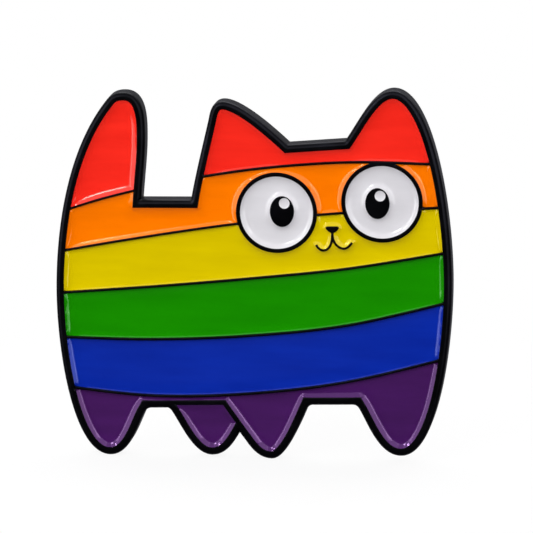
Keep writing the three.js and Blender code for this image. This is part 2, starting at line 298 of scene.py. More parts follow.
def triangulate(points, edges):
    """Delaunay triangles of the points, with the edges kept: (points, triangles)."""
    made = delaunay_2d_cdt([Vector(p) for p in points], [tuple(map(int, e)) for e in edges], [], 0, 1e-6)
    triangles = np.array(made[2], int)
    where = np.array([tuple(v) for v in made[0]])
    a, b, c = (where[triangles[:, k]] for k in range(3))
    flip = (b[:, 0] - a[:, 0]) * (c[:, 1] - a[:, 1]) < (b[:, 1] - a[:, 1]) * (c[:, 0] - a[:, 0])
    triangles[flip] = triangles[flip][:, ::-1]
    return where, triangles


def ring_edges(loops):
    """The loops' points in one array, and the edges that close each loop."""
    start, edges = 0, []
    for loop in loops:
        count = len(loop)
        index = start + np.arange(count)
        edges.append(np.column_stack((index, np.roll(index, -1))))
        start += count
    return np.vstack(loops), np.vstack(edges)


def border(triangles):
    """Closed runs of point numbers round a set of triangles, which lie to their left."""
    edges = np.vstack((triangles[:, (0, 1)], triangles[:, (1, 2)], triangles[:, (2, 0)]))
    both = {tuple(e) for e in edges.tolist()}
    following = {}
    for a, b in edges.tolist():
        if (b, a) not in both:
            following.setdefault(a, []).append(b)
    runs = []
    while following:
        start = next(iter(following))
        run, at = [], start
        while at in following:
            run.append(at)
            nexts = following[at]
            to = nexts.pop()
            if not nexts:
                del following[at]
            at = to
        runs.append(run)
    return runs


# -------------------------------------------------------------- cells and metal

CAT = cat_outline(True)
CAT_INSIDE = cat_outline(False)
FAR_LEG = far_leg_outline()
CELL_EDGE = inset(CAT_INSIDE, RIM)
FAR_CELL_EDGE = inset(FAR_LEG, RIM)
CROSSING = inset(CAT_INSIDE, RIM - OVERLAP_LINE)
WALLS = [strip(line, LINE, 130) for line in STRIPE_LINES]
WALLS += [strip(line, FACE_LINE, 50) for line in MOUTH] + [nose_outline()]
RINGS = [ellipse(eye["centre"], EYE_OUT, EYE_OUT, 160) for eye in EYES]
WHITES = [ellipse(eye["centre"], EYE_IN, EYE_IN, 150) for eye in EYES]
PUPILS = [ellipse(eye["pupil"], *PUPIL, 64) for eye in EYES]
GLINTS = [ellipse(eye["glint"], GLINT, GLINT, 32) for eye in EYES]

# each fill by a point inside it, with its finish
FILLS = {
    "enamel_red_tail": ("enamel_red", (-12.5, 10)),
    "enamel_red_head": ("enamel_red", (0, 11)),
    "enamel_orange_main": ("enamel_orange", (-10, 4.6)),
    "enamel_orange_cheek": ("enamel_orange", (15.8, 8)),
    "enamel_yellow": ("enamel_yellow", (-10, 1)),
    "enamel_green": ("enamel_green", (0, -3)),
    "enamel_blue": ("enamel_blue", (0, -8)),
    "enamel_purple_near_legs": ("enamel_purple", (-12.5, -13)),
    "enamel_purple_far_leg": ("enamel_purple", (-4, -13.5)),
    "enamel_white_left_eye": ("enamel_white", (0.2, 5.6)),
    "enamel_white_right_eye": ("enamel_white", (13.4, 6.7)),
    "enamel_glint_left_eye": ("enamel_white", (2.75, 6.42)),
    "enamel_glint_right_eye": ("enamel_white", (11.14, 7.25)),
}


def is_metal(points):
    return inside(points, [CAT]) | inside(points, [FAR_LEG])


def is_cell(points):
    walls = np.zeros(len(points), bool)
    for loop in WALLS + RINGS:
        walls |= inside(points, [loop])
    stripes = inside(points, [CELL_EDGE]) & ~walls
    leg = inside(points, [FAR_CELL_EDGE]) & ~inside(points, [CROSSING])
    eyes = inside(points, WHITES + PUPILS + GLINTS)
    return stripes | leg | eyes


def connected(triangles):
    """A number for each triangle, the same for triangles that share edges."""
    owner = {}
    parent = list(range(len(triangles)))

    def find(i):
        while parent[i] != i:
            parent[i] = parent[parent[i]]
            i = parent[i]
        return i

    for i, (a, b, c) in enumerate(triangles.tolist()):
        for edge in ((a, b), (b, c), (c, a)):
            key = (min(edge), max(edge))
            if key in owner:
                parent[find(i)] = find(owner[key])
            owner[key] = i
    return np.array([find(i) for i in range(len(triangles))])


def arrange():
    """All the outlines cut by one another: points, triangles of raised metal, and of each cell."""
    loops = [CAT, FAR_LEG, CELL_EDGE, FAR_CELL_EDGE, CROSSING] + WALLS + RINGS
    points, edges = ring_edges(loops + WHITES + PUPILS + GLINTS)
    points, triangles = triangulate(points, edges)
    middle = points[triangles].mean(axis=1)
    plate = is_metal(middle)
    triangles, middle = triangles[plate], middle[plate]
    hollow = is_cell(middle)
    group = np.full(len(triangles), -1)
    group[hollow] = connected(triangles[hollow])
    a, b, c = (points[triangles[:, k]] for k in range(3))
    metal, cells = np.ones(len(triangles), bool), {}
    for name, (_, seed) in FILLS.items():
        sides = [
            (q[:, 0] - p[:, 0]) * (seed[1] - p[:, 1]) - (q[:, 1] - p[:, 1]) * (seed[0] - p[:, 0])
            for p, q in ((a, b), (b, c), (c, a))
        ]
        holding = np.flatnonzero(np.min(sides, axis=0) >= 0)[0]
        mine = group == group[holding]
        cells[name] = triangles[mine]
        metal &= ~mine
    return points, triangles[metal], cells


def nearest(points, samples):
    """Distance from each point to the nearest sample, and which sample that is."""
    tree = kdtree.KDTree(len(samples))
    for i, (x, z) in enumerate(samples):
        tree.insert((x, z, 0), i)
    tree.balance()
    found = [tree.find((x, z, 0)) for x, z in points]
    return np.array([f[2] for f in found]), np.array([f[1] for f in found])


def dense(loops, spacing=0.012):
    """Points close together along loops."""
    out = []
    for loop in loops:
        for a, b in zip(loop, np.roll(loop, -1, axis=0)):
            count = max(1, math.ceil(np.hypot(*(b - a)) / spacing))
            out.append(a + (b - a) * (np.arange(count) / count)[:, None])
    return np.vstack(out)


def offsets(loops, distances, spacing):
    """Points at set distances to the left of the loops, where nothing else is nearer."""
    out = []
    samples = dense(loops)
    for distance in distances:
        gap = max(spacing, 0.5 * distance)
        for loop in loops:
            after = np.roll(loop, -1, axis=0) - loop
            length = np.hypot(*after.T)
            along = np.concatenate(([0], np.cumsum(length)))
            count = max(6, round(along[-1] / gap))
            at = (np.arange(count) + 0.5) * along[-1] / count
            k = np.clip(np.searchsorted(along, at) - 1, 0, len(loop) - 1)
            unit = after[k] / length[k][:, None]
            point = loop[k] + unit * (at - along[k])[:, None]
            out.append((point + distance * np.column_stack((-unit[:, 1], unit[:, 0])), distance))
    kept = []
    for points, distance in out:
        far, _ = nearest(points, samples)
        kept.append(points[far > distance * 0.97])
    kept = np.vstack(kept)
    return kept[inside(kept, loops)]


# ------------------------------------------------------------------ mesh making

class Patchwork:
    """Vertices and faces collected patch by patch, in millimetres, and joined where they meet."""

    def __init__(self):
        self.vertices, self.faces, self.count = [], [], 0

    def add(self, vertices, faces):
        vertices = np.asarray(vertices, float)
        self.vertices.append(vertices)
        self.faces += [tuple(int(i) + self.count for i in face) for face in faces]
        self.count += len(vertices)

    def piece(self, name, material, sharp=35):
        """One smooth object, creased only where its faces turn by more than the sharp angle."""
        mesh = bpy.data.meshes.new(name)
        mesh.from_pydata([tuple(v) for v in np.vstack(self.vertices) * MM], [], self.faces)
        bm = bmesh.new()
        bm.from_mesh(mesh)
        bmesh.ops.remove_doubles(bm, verts=bm.verts, dist=1e-7)
        bmesh.ops.dissolve_degenerate(bm, edges=bm.edges, dist=1e-8)
        loose = [v for v in bm.verts if not v.link_faces]
        bmesh.ops.delete(bm, geom=loose, context="VERTS")
        bmesh.ops.recalc_face_normals(bm, faces=bm.faces)
        bm.to_mesh(mesh)
        bm.free()
        return finished(bpy.data.objects.new(name, mesh), material, sharp)


def finished(piece, material, sharp):
    bpy.context.scene.collection.objects.link(piece)
    piece.data.shade_smooth()
    piece.data.set_sharp_from_angle(angle=math.radians(sharp))
    piece.data.materials.append(material)
    return piece


def place(piece, node, body):
    """The piece stands in for a CAD node, which is hidden, and hangs on its body."""
    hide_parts(node)
    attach(piece, body)


def forward(points, height):
    """Plane points at a height over the back face, as points of the frame."""
    return np.column_stack((points[:, 0], -np.broadcast_to(height, len(points)), points[:, 1]))


def wall(low, high):
    """Vertices and faces between two closed rings of as many points."""
    count = len(low)
    i = np.arange(count)
    j = (i + 1) % count
    return np.vstack((low, high)), np.column_stack((i, j, j + count, i + count))


def fill(loops, rings, spacing, grid):
    """A triangulation inside the loops, fine beside them: points, triangles, distance inwards."""
    points, edges = ring_edges(loops)
    count = len(points)
    inner = offsets(loops, rings, spacing)
    low, high = points.min(0), points.max(0)
    x, z = np.meshgrid(np.arange(low[0], high[0], grid), np.arange(low[1], high[1], grid * 0.87))
    x[1::2] += grid / 2
    spots = np.column_stack((x.ravel(), z.ravel()))
    spots = spots[inside(spots, loops)]
    samples = dense(loops)
    if len(spots):
        spots = spots[nearest(spots, samples)[0] > (rings[-1] if len(rings) else 0) + 0.4 * grid]
    points, triangles = triangulate(np.vstack((points, inner, spots)), edges)
    triangles = triangles[inside(points[triangles].mean(axis=1), loops)]
    distance, _ = nearest(points, samples)
    distance[:count] = 0
    return points, triangles, distance


def edge_weights(points, triangles):
    """Cotangent weight of every edge and the area round every point."""
    count = len(points)
    mass = np.zeros(count)
    ends, weights = [], []
    for k in range(3):
        a, b, c = triangles[:, k], triangles[:, (k + 1) % 3], triangles[:, (k + 2) % 3]
        u, v = points[a] - points[c], points[b] - points[c]
        cross = np.maximum(np.abs(u[:, 0] * v[:, 1] - u[:, 1] * v[:, 0]), 1e-7)
        ends.append(np.column_stack((a, b)))
        weights.append(np.maximum((u * v).sum(1) / cross / 2, 1e-3))
        mass += np.bincount(c, cross / 6, count)
    return np.vstack(ends), np.concatenate(weights), mass


def climb(points, triangles, held, length):
    """Levels that keep the held ones and die away over a length, as a liquid's surface does."""
    ends, weights, mass = edge_weights(points, triangles)
    count = len(points)
    first, second = ends.T
    diagonal = np.bincount(first, weights, count) + np.bincount(second, weights, count)
    diagonal += mass / length**2

    def apply(v):
        out = diagonal * v
        out -= np.bincount(first, weights * v[second], count)
        out -= np.bincount(second, weights * v[first], count)
        return out

    free = np.isnan(held)
    level = np.where(free, 0, held)
    residual = np.where(free, -apply(level), 0)
    ready = residual / diagonal
    step, energy = ready.copy(), residual @ ready
    for _ in range(400):
        if energy < 1e-10:
            break
        pushed = np.where(free, apply(step), 0)
        size = energy / (step @ pushed)
        level += size * step
        residual -= size * pushed
        ready = residual / diagonal
        energy, old = residual @ ready, energy
        step = ready + energy / old * step
    return level


def rounding(distance, radius):
    """How far a quarter-round edge lies below its face, at a distance from the edge."""
    inward = np.clip(1 - distance / radius, 0, 1)
    return radius * (1 - np.sqrt(1 - inward**2))


def bevel(distance):
    """How far the rim's outer rounding lies below the flat top."""
    radius = RIM_ROUND / (1 - math.sin(CREST))
    sine = np.clip(1 - distance / radius, math.sin(CREST), 1)
    return radius * (math.cos(CREST) - np.sqrt(1 - sine**2))


def struck_plate(material):
    """The die-struck plate: flat raised metal, rounded rim, hollow cells and a plain back."""
    patches = Patchwork()
    loops = [POINTS[run] for run in border(METAL)]
    outer = max(loops, key=lambda loop: abs(area(loop)))
    walls = [loop for loop in loops if loop is not outer]
    points, triangles, _ = fill(loops, RIM_ROWS, SIDE, 0.4)
    from_edge, _ = nearest(points, dense([outer], CLOSE))
    from_cell, _ = nearest(points, dense(walls, CLOSE))
    exact = {tuple(p) for p in np.round(outer, 6).tolist()}
    from_edge[[tuple(p) in exact for p in np.round(points, 6).tolist()]] = 0
    exact = {tuple(p) for p in np.round(np.vstack(walls), 6).tolist()}
    from_cell[[tuple(p) in exact for p in np.round(points, 6).tolist()]] = 0
    patches.add(forward(points, PLATE - bevel(from_edge) - rounding(from_cell, EDGE_ROUND)), triangles)
    shoulder = PLATE - bevel(np.zeros(1))[0]
    heights = (BACK_ROUND, BACK_ROUND + COLLAR, 0.6, 1.1, shoulder - COLLAR, shoulder)
    for low, high in zip(heights, heights[1:]):
        patches.add(*wall(forward(outer, low), forward(outer, high)))
    points, triangles, distance = fill([outer], BACK_ROWS, SIDE, 1.2)
    patches.add(forward(points, rounding(distance, BACK_ROUND)), triangles)
    for loop in walls:
        patches.add(*wall(forward(loop, FLOOR), forward(loop, PLATE - EDGE_ROUND)))
    for triangles in CELLS.values():
        patches.add(forward(POINTS, FLOOR), triangles)
    return patches.piece("plate_dyed_metal", material)


LINE_MIDDLES = np.vstack([spline(line, 1500) for line in STRIPE_LINES])


def enamel(name, material):
    """One fill: level in the middle, drawn up at its walls, less so at the thin lines."""
    loops = [POINTS[run] for run in border(CELLS[name])]
    points, triangles, distance = fill(loops, ENAMEL_ROWS, SIDE, 0.45)
    at_line = nearest(points, LINE_MIDDLES)[0] < LINE / 2 + 0.02
    held = np.where(at_line, AT_LINES.get(name, LINE_SHARE), 1.0)
    held[distance > 0] = np.nan
    height = ENAMEL_LOW + MENISCUS * climb(points, triangles, held, CLIMB)
    patches = Patchwork()
    patches.add(forward(points, height), triangles)
    patches.add(forward(points, ENAMEL_BED), triangles[:, ::-1])
    for loop in loops:
        top = height[nearest(loop, points)[1]]
        patches.add(*wall(forward(loop, ENAMEL_BED), forward(loop, top)))
    return patches.piece(name + "_fill", material)


def rounded(profile, radius, chords=4):
    """The profile with its corners rounded, as far as their edges allow."""
    profile = [np.array(p, float) for p in profile]
    out = [profile[0]]
    for before, corner, after in zip(profile, profile[1:], profile[2:]):
        u, v = before - corner, after - corner
        lu, lv = np.hypot(*u), np.hypot(*v)
        half = math.acos(np.clip(u @ v / lu / lv, -1, 1)) / 2
        cut = min(radius / max(math.tan(half), 0.05), 0.45 * lu, 0.45 * lv)
        p, q = corner + u / lu * cut, corner + v / lv * cut
        for t in np.linspace(0, 1, chords + 1):
            out.append((1 - t) ** 2 * p + 2 * t * (1 - t) * corner + t**2 * q)
    out.append(profile[-1])
    return out


def turned(profile, radius, count, origin, closed=False):
    """A patch turned from (radius, height) points about a line along +Y."""
    profile = [tuple(p) for p in profile]
    if closed:
        profile = rounded(profile[-1:] + profile + profile[:1], radius)[1:-1]
    else:
        profile = rounded(profile, radius)
    a = np.arange(count) * 2 * math.pi / count
    rings = [
        np.column_stack((origin[0] + r * np.cos(a), np.full(count, origin[1] + y), origin[2] + r * np.sin(a)))
        for r, y in profile
    ]
    if closed:
        rings.append(rings[0])
    patches = Patchwork()
    for low, high in zip(rings, rings[1:]):
        patches.add(*wall(low, high))
    return patches


def post(side, material):
    """A post with its soldered flange, a groove for the wire and a tapered tip, turned from
    (radius, height over the back)."""
    profile = [
        (0.0, 0.01), (1.2, 0.01), (1.2, 0.22), (0.95, 0.34), (0.7, 0.4), (POST_R, 0.62),
        (POST_R, 5.9), (0.43, 6.05), (0.43, 6.3), (POST_R, 6.45), (POST_R, 6.9),
        (0.32, 7.55), (0.09, 7.98), (0.0, 8.0),
    ]
    patches = turned(profile, 0.07, 64, (POSTS[side], 0, 0))
    place(patches.piece(f"post_{side}_turned", material), f"post_{side}", "pin")


def cup(side, material):
    """The stamped disc that lies on the cloth, its rim rolled over the cap, turned from
    (radius, height over the cloth)."""
    profile = [
        (0.76, 0.76), (1.35, 0.5), (1.9, 0.01), (3.1, 0.01), (3.3, 0.09), (3.6, 0.09), (3.8, 0.01),
        (5.2, 0.01), (5.6, 0.12), (5.74, 0.5), (5.74, 1.15), (5.6, 1.34), (5.42, 1.2),
        (5.39, 0.6), (5.2, 0.4), (2.1, 0.4), (1.55, 0.85), (0.76, 1.08),
    ]
    patches = turned(profile, 0.09, 128, (POSTS[side], FABRIC, 0), closed=True)
    piece = patches.piece(f"clutch_{side}_cup_stamped", material)
    place(piece, f"clutch_{side}_cup", f"{side}_cup")


def carve(piece, cutter):
    """The piece with the cutter's volume taken out of it."""
    change = piece.modifiers.new("carve", "BOOLEAN")
    change.operation = "DIFFERENCE"
    change.solver = "EXACT"
    change.object = cutter
    depsgraph = bpy.context.evaluated_depsgraph_get()
    mesh = bpy.data.meshes.new_from_object(piece.evaluated_get(depsgraph))
    piece.modifiers.clear()
    piece.data = mesh
    bpy.data.objects.remove(cutter)


def shell(side, material):
    """The cap crimped into the cup, with a hole for the post and a window for each wing."""
    origin = (POSTS[side], FABRIC, 0)
    profile = [
        (4.32, 0.45), (5.17, 0.45), (5.24, 0.6), (5.24, 0.79), (4.9, 0.84), (4.7, 1.05), (4.7, 2.5),
        (4.5, 2.88), (4.1, 2.99), (3.72, 2.99), (3.6, 2.93), (3.4, 2.93), (3.28, 2.99),
        (1.15, 2.99), (0.86, 2.9), (0.86, 2.64), (3.95, 2.64), (4.2, 2.5), (4.32, 2.3),
    ]
    piece = turned(profile, 0.1, 128, origin, closed=True).piece(f"clutch_{side}_cap_pressed", material)
    windows = Patchwork()
    for sign in (1, -1):
        corner = Outline(sign * 1.2, -WING_HALF - 0.2)
        for x, z in ((2.8, -2.8), (2.8, 2.8), (1.2, 2.8)):
            corner.line(sign * x, z)
        ring = np.array(rounded([(1.2, 0)] + [(abs(x), z) for x, z in corner.points] + [(1.2, 0)], 0.25))
        ring = ring[1:-1] * (sign, 1)
        low = np.column_stack((origin[0] + ring[:, 0], np.full(len(ring), origin[1] + 2.3), ring[:, 1]))
        high = low + (0, 1.2, 0)
        windows.add(*wall(low, high))
        windows.add(low, [range(len(low))])
        windows.add(high, [range(len(low))])
    cutter = windows.piece("windows", material)
    carve(piece, cutter)
    piece.data.set_sharp_from_angle(angle=math.radians(35))
    place(piece, f"clutch_{side}_shell", f"{side}_cap")


def sheet(loops, thickness, edge, spacing, bend):
    """A patch of sheet metal with softened edges, bent by a function of (plane points, height)."""
    rings = (0.25 * edge, 0.6 * edge, edge)
    points, triangles, distance = fill(loops, rings, spacing, 3 * spacing)
    drop = rounding(distance, edge)
    patches = Patchwork()
    patches.add(bend(points, thickness / 2 - drop), triangles)
    patches.add(bend(points, drop - thickness / 2), triangles[:, ::-1])
    for loop in loops:
        side = thickness / 2 - edge
        patches.add(*wall(bend(loop, np.full(len(loop), -side)), bend(loop, np.full(len(loop), side))))
    return patches


def wing_path():
    """The middle of a wing's sheet seen from the side, at even steps: points and normals."""
    o = Outline(1.65, 2.06, 0.04)
    o.line(1.65, 3.0)
    o.curve(1.65, 3.44, 2.05, 3.67)
    o.line(5.34, 5.585)
    o.curve(5.74, 5.83, 5.75, 6.08)
    points = np.array(o.points)
    along = np.concatenate(([0], np.cumsum(np.hypot(*np.diff(points, axis=0).T))))
    even = np.linspace(0, along[-1], 240)
    points = np.column_stack([np.interp(even, along, points[:, k]) for k in (0, 1)])
    smooth = points.copy()
    for _ in range(6):
        smooth[1:-1] = (smooth[:-2] + 2 * smooth[1:-1] + smooth[2:]) / 4
    tangent = np.gradient(smooth, axis=0)
    tangent /= np.linalg.norm(tangent, axis=1)[:, None]
    return even, smooth, np.column_stack((-tangent[:, 1], tangent[:, 0]))


def wing(side, letter, sign, material):
    """A wing: a leaf of sheet that leaves its window and turns outwards, and two flanges."""
    along, middle, normal = wing_path()
    origin = np.array((POSTS[side], FABRIC, 0))

    def world(x, y, z):
        return origin + np.column_stack((sign * x, y, sign * z))

    def bend(points, height):
        where = [np.interp(points[:, 0], along, middle[:, k]) for k in (0, 1)]
        facing = [np.interp(points[:, 0], along, normal[:, k]) for k in (0, 1)]
        return world(where[0] + facing[0] * height, where[1] + facing[1] * height, points[:, 1])

    length = along[-1]
    leaf = Outline(0.01, -1.73, 0.1)
    leaf.line(1.6, -1.73)
    leaf.curve(2.6, -1.73, 2.9, -2.57, 3.9, -2.57)
    leaf.curve(4.9, -2.57, length - 0.02, -2.2, length - 0.02, -1.2)
    leaf.line(length - 0.02, 1.2)
    leaf.curve(length - 0.02, 2.2, 4.9, 2.57, 3.9, 2.57)
    leaf.curve(2.9, 2.57, 2.6, 1.73, 1.6, 1.73)
    leaf.line(0.01, 1.73)
    patches = sheet([leaf.loop()], SHEET, 0.1, 0.14, bend)
    tab = rounded([(1.0, 1.36), (1.3, 1.36), (1.84, 2.06), (1.84, 2.49), (1.46, 2.49),
                   (0.36, 2.04), (0.36, 1.36), (1.0, 1.36)], 0.12)[:-1]
    hole = ellipse((WIRE_X, WIRE_Y), WIRE_R + WIRE_PLAY, WIRE_R + WIRE_PLAY, 28)
    tab = np.array(tab)
    tab = tab if area(tab) > 0 else tab[::-1]
    for z in (-1.575, 1.575):
        flange = sheet([tab, hole[::-1]], FLANGE, 0.06, 0.1,
                       lambda points, height, z=z: world(points[:, 0], points[:, 1], z + height))
        patches.add(np.vstack(flange.vertices), flange.faces)
    piece = patches.piece(f"clutch_{side}_wing_{letter}_bent", material)
    place(piece, f"clutch_{side}_wing_{letter}", f"{side}_wing_{letter}")


def spring(side, letter, sign, material):
    """Half of a hairpin of round wire, fixed in place; its strand grips the post and holds a wing."""
    turn = np.linspace(0, math.pi / 2, 17)
    bend = [(WIRE_X * math.cos(a), SPRING_BEND - WIRE_X * math.sin(a)) for a in turn]
    centre = np.array([(WIRE_X, z) for z in np.linspace(STRAND, SPRING_BEND, 61)[:-1]] + bend)
    tangent = np.gradient(centre, axis=0)
    tangent[-1] = (-1, 0)
    tangent /= np.linalg.norm(tangent, axis=1)[:, None]
    a = np.arange(20) * 2 * math.pi / 20
    rings = []
    for p, t in zip(centre, tangent):
        x = p[0] - t[1] * WIRE_R * np.cos(a)
        z = p[1] + t[0] * WIRE_R * np.cos(a)
        y = WIRE_Y + WIRE_R * np.sin(a)
        rings.append(np.column_stack((POSTS[side] + sign * x, FABRIC + y, z)))
    patches = Patchwork()
    for low, high in zip(rings, rings[1:]):
        patches.add(*wall(low, high))
    middle = rings[0].mean(axis=0)
    tip = middle + (rings[0] - middle) * 0.8 + (0, 0, 0.04)
    patches.add(*wall(rings[0], tip))
    patches.add(tip, [range(len(tip))])
    patches.add(rings[-1], [range(len(tip))])
    piece = patches.piece(f"clutch_{side}_spring_wire_{letter}", material)
    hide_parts(f"clutch_{side}_spring")
    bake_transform(piece)


# -------------------------------------------------------------------- materials

def nodes_of(name, metallic, specular=0.5, tint=(1, 1, 1)):
    """A material with its node tree, its shader, and object coordinates in millimetres."""
    material = bpy.data.materials.new(name)
    material.use_nodes = True
    tree = material.node_tree
    shader = tree.nodes["Principled BSDF"]
    shader.inputs["Metallic"].default_value = metallic
    shader.inputs["Specular IOR Level"].default_value = specular
    shader.inputs["Specular Tint"].default_value = (*tint, 1)
    where = tree.nodes.new("ShaderNodeTexCoord")
    scale = tree.nodes.new("ShaderNodeVectorMath")
    scale.operation = "SCALE"
    scale.inputs["Scale"].default_value = 1 / MM
    tree.links.new(where.outputs["Object"], scale.inputs[0])
    return material, tree, shader, scale.outputs["Vector"]


def noise(tree, vector, scale, detail=2.0, stretch=None):
    """A noise's value, with its size per millimetre, stretched along an axis if asked."""
    if stretch:
        multiply = tree.nodes.new("ShaderNodeVectorMath")
        multiply.operation = "MULTIPLY"
        multiply.inputs[1].default_value = stretch
        tree.links.new(vector, multiply.inputs[0])
        vector = multiply.outputs["Vector"]
    node = tree.nodes.new("ShaderNodeTexNoise")
    node.inputs["Scale"].default_value = scale
    node.inputs["Detail"].default_value = detail
    tree.links.new(vector, node.inputs["Vector"])
    return node.outputs["Fac"]


def ramp(tree, value, low, high, start=0.35, end=0.65):
    """Colours or greys that follow a value."""
    node = tree.nodes.new("ShaderNodeValToRGB")
    for element, colour, at in zip(node.color_ramp.elements, (low, high), (start, end)):
        element.color = (*colour, 1) if hasattr(colour, "__len__") else (colour, colour, colour, 1)
        element.position = at
    tree.links.new(value, node.inputs["Fac"])
    return node.outputs["Color"]


def bump(tree, shader, value, strength, distance, before=None):
    """A fine relief from a value, its depth in millimetres."""
    node = tree.nodes.new("ShaderNodeBump")
    node.inputs["Strength"].default_value = strength
    node.inputs["Distance"].default_value = distance * MM
    tree.links.new(value, node.inputs["Height"])
    if before:
        tree.links.new(before, node.inputs["Normal"])
    tree.links.new(node.outputs["Normal"], shader.inputs["Normal"])
    return node.outputs["Normal"]


def linear(hex_colour):
    """The linear colour of a screen colour."""
    channels = [int(hex_colour[i:i + 2], 16) / 255 for i in (0, 2, 4)]
    return tuple(c / 12.92 if c <= 0.04045 else ((c + 0.055) / 1.055) ** 2.4 for c in channels)


def metal(name, dark, light, rough, relief, grain):
    """A metal whose colour, gloss and fine relief vary over it."""
    material, tree, shader, vector = nodes_of(name, 1.0)
    broad = noise(tree, vector, 0.35, 3.0)
    fine = noise(tree, vector, grain, 4.0)
    tree.links.new(ramp(tree, broad, dark, light), shader.inputs["Base Color"])
    tree.links.new(ramp(tree, fine, rough[0], rough[1]), shader.inputs["Roughness"])
    bump(tree, shader, fine, relief, 0.01)
    return material


def blended(tree, share, one, other):
    """One colour or grey passing into another with a share."""
    node = tree.nodes.new("ShaderNodeMix")
    node.data_type = "RGBA"
    factor, first, second = (node.inputs[i] for i in (0, 6, 7))
    tree.links.new(share, factor)
    tree.links.new(one, first)
    tree.links.new(other, second)
    return node.outputs[2]


def dyed_metal():
    """Black-dyed metal, polished in front and round its edges, stippled and dull on the back."""
    material, tree, shader, vector = nodes_of("black_dyed_metal", 1.0)
    split = tree.nodes.new("ShaderNodeSeparateXYZ")
    tree.links.new(vector, split.inputs[0])
    back = tree.nodes.new("ShaderNodeMapRange")
    back.inputs["From Min"].default_value, back.inputs["From Max"].default_value = BACK_FINISH
    tree.links.new(split.outputs["Y"], back.inputs["Value"])
    share = back.outputs["Result"]
    broad = noise(tree, vector, 0.35, 3.0)
    fine = noise(tree, vector, 0.8, 4.0)
    stipple = noise(tree, vector, 3.2, 2.0)
    front = ramp(tree, broad, (0.007, 0.007, 0.009), (0.012, 0.012, 0.016))
    rear = ramp(tree, broad, (0.03, 0.03, 0.034), (0.045, 0.045, 0.05))
    tree.links.new(blended(tree, share, front, rear), shader.inputs["Base Color"])
    gloss = ramp(tree, fine, 0.31, 0.37)
    dull = ramp(tree, stipple, 0.4, 0.5)
    tree.links.new(blended(tree, share, gloss, dull), shader.inputs["Roughness"])
    whole = tree.nodes.new("ShaderNodeMapRange")
    whole.inputs["To Min"].default_value = 1
    whole.inputs["To Max"].default_value = 0
    tree.links.new(share, whole.inputs["Value"])
    tree.links.new(whole.outputs["Result"], shader.inputs["Metallic"])
    smooth = bump(tree, shader, fine, 0.02, 0.01)
    depth = tree.nodes.new("ShaderNodeMath")
    depth.operation = "MULTIPLY"
    tree.links.new(stipple, depth.inputs[0])
    tree.links.new(share, depth.inputs[1])
    bump(tree, shader, depth.outputs[0], 0.6, 0.06, smooth)
    return material


def glaze(name, colour, deep, sheen):
    """Cured enamel: clear gloss over pigment that clouds slightly; its reflections take a tint."""
    material, tree, shader, vector = nodes_of(name, 0.0, specular=0.6, tint=linear(sheen))
    cloud = noise(tree, vector, 0.45, 6.0, (0.35, 1.0, 2.0))
    tree.links.new(ramp(tree, cloud, linear(deep), linear(colour), 0.3, 0.7), shader.inputs["Base Color"])
    haze = noise(tree, vector, 1.6, 2.0)
    tree.links.new(ramp(tree, haze, 0.05, 0.09), shader.inputs["Roughness"])
    bump(tree, shader, noise(tree, vector, 0.9, 1.0), 0.18, 0.02)
    return material


POINTS, METAL, CELLS = arrange()

ENAMELS = {
    "enamel_red": glaze("enamel_red_gloss", "fb2d20", "f0261b", "ffc8c0"),
    "enamel_orange": glaze("enamel_orange_gloss", "ff7a00", "f67400", "ffdcb0"),
    "enamel_yellow": glaze("enamel_yellow_gloss", "dcc400", "d3ba00", "fff4b0"),
    "enamel_green": glaze("enamel_green_gloss", "188c00", "158400", "c0ffb8"),
    "enamel_blue": glaze("enamel_blue_gloss", "0c2ba4", "092597", "b8c4ff"),
    "enamel_purple": glaze("enamel_purple_gloss", "44195b", "3d1652", "e8b8ff"),
    "enamel_white": glaze("enamel_white_gloss", "dbd9de", "d4d2d7", "ffffff"),
}
DYED = dyed_metal()
STEEL = metal("nickel_plated_steel", (0.52, 0.52, 0.53), (0.66, 0.65, 0.64),
              rough=(0.16, 0.3), relief=0.3, grain=9.0)
BRASS = metal("bright_brass", (0.7, 0.5, 0.21), (0.83, 0.63, 0.3),
              rough=(0.16, 0.27), relief=0.08, grain=3.0)
BRONZE = metal("phosphor_bronze", (0.62, 0.38, 0.2), (0.76, 0.5, 0.28),
               rough=(0.16, 0.3), relief=0.3, grain=9.0)

place(struck_plate(DYED), "pin_body", "pin")
for name, (finish, _) in FILLS.items():
    place(enamel(name, ENAMELS[finish]), name, "pin")
for side in POSTS:
    post(side, STEEL)
    cup(side, BRASS)
    shell(side, BRASS)
    for letter, sign in (("a", 1), ("b", -1)):
        wing(side, letter, sign, BRASS)
        spring(side, letter, sign, BRONZE)


# --------------------------------------------------------- floor, light, camera

TARGET = Vector((0.000958, 0, 0.000403))
VIEW = (7, 11)            # azimuth and elevation of the camera in degrees
DISTANCE = 0.45
SENSOR = 36
FOCAL = 5125.5 / 533 * SENSOR
FLOOR_HALF = 3            # metres
FLOOR_FADE = (20, 60)     # millimetres from the pin's middle over which the floor fades out
FLOOR_ALPHA = 0.1
SURROUND_FRONT = 0.01
SURROUND_BEHIND = (0.19, 0.19, 0.21)

